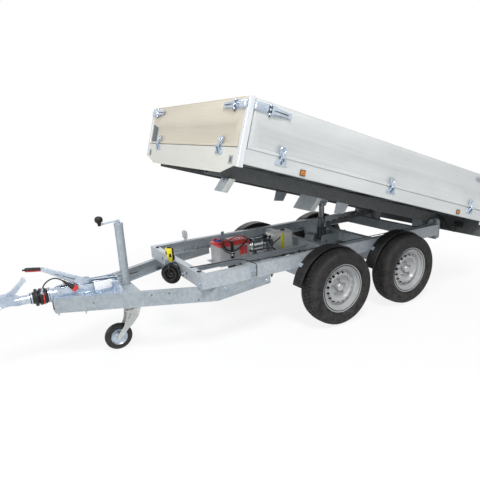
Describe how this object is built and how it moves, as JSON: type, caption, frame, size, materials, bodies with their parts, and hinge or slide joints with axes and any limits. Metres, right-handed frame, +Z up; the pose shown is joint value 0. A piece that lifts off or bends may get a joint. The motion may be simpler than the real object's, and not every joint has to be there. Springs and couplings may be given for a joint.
{
  "type": "tandem-axle tipper trailer",
  "caption": "Low tandem-axle tipper trailer: drop-side aluminium bed tipped on a galvanised V-drawbar chassis with a ram, jockey wheel and ball coupling.",
  "frame": {"origin": "bottom centre of the whole box, on the ground", "axes": "+X forward to the coupling, +Y to the left, +Z up"},
  "size_m": [4.0464, 1.705, 1.7221],
  "materials": {
    "galvanised": "hot-dip galvanised steel, faint spangle, dull",
    "zinc": "bright zinc plating with a bluish sheen",
    "aluminium": "mill-finish anodised aluminium, fine lengthwise drawing marks",
    "black_rubber": "matt black moulded rubber",
    "black_plastic": "matt black moulded plastic",
    "steel": "ground steel, lightly oiled",
    "battery_case": "grey battery case with a red lid",
    "white_plastic": "translucent white polythene",
    "yellow_plastic": "yellow moulded plastic with black sides",
    "amber_lens": "amber lens plastic",
    "clear_lens": "clear lens over a white reflector",
    "wheel_paint": "silver wheel paint",
    "tyre": "black tyre rubber"
  },
  "bodies": {
    "chassis": {"rails": "galvanised", "front_member": "galvanised", "cross_members": "galvanised", "rear_brackets": "galvanised", "drawbar_beams": "galvanised", "overrun_housing": "zinc", "bellows": "black_rubber", "coupling_head": "zinc", "handbrake": "zinc", "plug_lead": "black_rubber", "plug": "black_rubber", "jockey_clamp": "zinc", "front_axle": "galvanised", "rear_axle": "galvanised", "mudguards": "black_plastic", "equipment_tray": "galvanised", "battery": "battery_case", "hydraulic_pump": "steel", "oil_tank": "white_plastic", "remote_holder": "galvanised", "remote": "yellow_plastic", "remote_coil": "black_rubber", "reflector_post": "clear_lens", "safety_prop": "galvanised"},
    "bed": {"side_frames": "aluminium", "corner_posts": "aluminium", "front_panel": "aluminium", "rear_sill": "galvanised", "bed_floor": "aluminium", "sub_beams": "galvanised", "bed_cross_beams": "galvanised", "bed_guides": "galvanised", "bed_lamps": "amber_lens", "hinge_bases": "zinc"},
    "left_board_body": {"left_board": "aluminium", "left_board_fittings": "zinc"},
    "right_board_body": {"right_board": "aluminium", "right_board_fittings": "zinc"},
    "headboard_body": {"headboard": "aluminium", "headboard_fittings": "zinc"},
    "tailboard_body": {"tailboard": "aluminium", "tailboard_fittings": "zinc"},
    "barrel": {"cylinder_barrel": "steel"},
    "stage_1": {"cylinder_stage_1": "steel"},
    "stage_2": {"cylinder_stage_2": "steel"},
    "stage_3": {"cylinder_stage_3": "steel"},
    "wheel_left_front": {"rim_left_front": "wheel_paint", "tyre_left_front": "tyre"},
    "wheel_right_front": {"rim_right_front": "wheel_paint", "tyre_right_front": "tyre"},
    "wheel_left_rear": {"rim_left_rear": "wheel_paint", "tyre_left_rear": "tyre"},
    "wheel_right_rear": {"rim_right_rear": "wheel_paint", "tyre_right_rear": "tyre"},
    "jockey_column": {"jockey_tube": "zinc", "jockey_crank": "zinc"},
    "jockey_spindle": {"jockey_leg": "zinc"},
    "jockey_swivel": {"jockey_fork": "zinc"},
    "jockey_roller": {"jockey_wheel": "black_rubber"}
  },
  "joints": [
    {"name": "bed_tip", "type": "hinge", "parent": "chassis", "child": "bed", "pos_m": [-1.59477, 0, 0.602], "axis": [0, -1, 0], "range_deg": [-16.1, 28.9]},
    {"name": "left_board_hinge", "type": "hinge", "parent": "bed", "child": "left_board_body", "pos_m": [-0.66155, 0.844, 1.06495], "axis": [-0.9608, 0, -0.2773], "range_deg": [0, 180]},
    {"name": "right_board_hinge", "type": "hinge", "parent": "bed", "child": "right_board_body", "pos_m": [-0.66155, -0.844, 1.06495], "axis": [0.9608, 0, 0.2773], "range_deg": [0, 180]},
    {"name": "headboard_hinge", "type": "hinge", "parent": "bed", "child": "headboard_body", "pos_m": [0.62013, 0, 1.43489], "axis": [0, 1, 0], "range_deg": [0, 180]},
    {"name": "tailboard_hinge", "type": "hinge", "parent": "bed", "child": "tailboard_body", "pos_m": [-1.94323, 0, 0.69501], "axis": [0, -1, 0], "range_deg": [0, 180]},
    {"name": "barrel_swing", "type": "hinge", "parent": "chassis", "child": "barrel", "pos_m": [-0.66477, 0, 0.5], "axis": [0, -1, 0], "range_deg": [-9.32, 16.69]},
    {"name": "stage_1_slide", "type": "slide", "parent": "barrel", "child": "stage_1", "axis": [-0.0081, 0, 1], "range_m": [-0.08472, 0.15167]},
    {"name": "stage_2_slide", "type": "slide", "parent": "stage_1", "child": "stage_2", "axis": [-0.0081, 0, 1], "range_m": [-0.08472, 0.15167]},
    {"name": "stage_3_slide", "type": "slide", "parent": "stage_2", "child": "stage_3", "axis": [-0.0081, 0, 1], "range_m": [-0.08472, 0.15167]},
    {"name": "left_front_spin", "type": "hinge", "parent": "chassis", "child": "wheel_left_front", "pos_m": [-0.30477, 0.634, 0.305], "axis": [0, 1, 0], "continuous": true},
    {"name": "right_front_spin", "type": "hinge", "parent": "chassis", "child": "wheel_right_front", "pos_m": [-0.30477, -0.634, 0.305], "axis": [0, 1, 0], "continuous": true},
    {"name": "left_rear_spin", "type": "hinge", "parent": "chassis", "child": "wheel_left_rear", "pos_m": [-1.05477, 0.634, 0.305], "axis": [0, 1, 0], "continuous": true},
    {"name": "right_rear_spin", "type": "hinge", "parent": "chassis", "child": "wheel_right_rear", "pos_m": [-1.05477, -0.634, 0.305], "axis": [0, 1, 0], "continuous": true},
    {"name": "jockey_clamp_slide", "type": "slide", "parent": "chassis", "child": "jockey_column", "axis": [0, 0, 1], "range_m": [-0.3, 0.08]},
    {"name": "jockey_wind", "type": "slide", "parent": "jockey_column", "child": "jockey_spindle", "axis": [0, 0, 1], "range_m": [-0.2, 0]},
    {"name": "jockey_swivel_turn", "type": "hinge", "parent": "jockey_spindle", "child": "jockey_swivel", "pos_m": [1.17523, 0.042, 0.292], "axis": [0, 0, 1], "continuous": true},
    {"name": "jockey_roll", "type": "hinge", "parent": "jockey_swivel", "child": "jockey_roller", "pos_m": [1.27723, 0.042, 0.1], "axis": [0, 1, 0], "continuous": true}
  ],
  "couplings": [
    {"joint": "barrel_swing", "follows": "bed_tip", "ratio": 0.57564},
    {"joint": "stage_1_slide", "follows": "bed_tip", "m_per_rad": 0.2997},
    {"joint": "stage_2_slide", "follows": "bed_tip", "m_per_rad": 0.2997},
    {"joint": "stage_3_slide", "follows": "bed_tip", "m_per_rad": 0.2997}
  ]
}
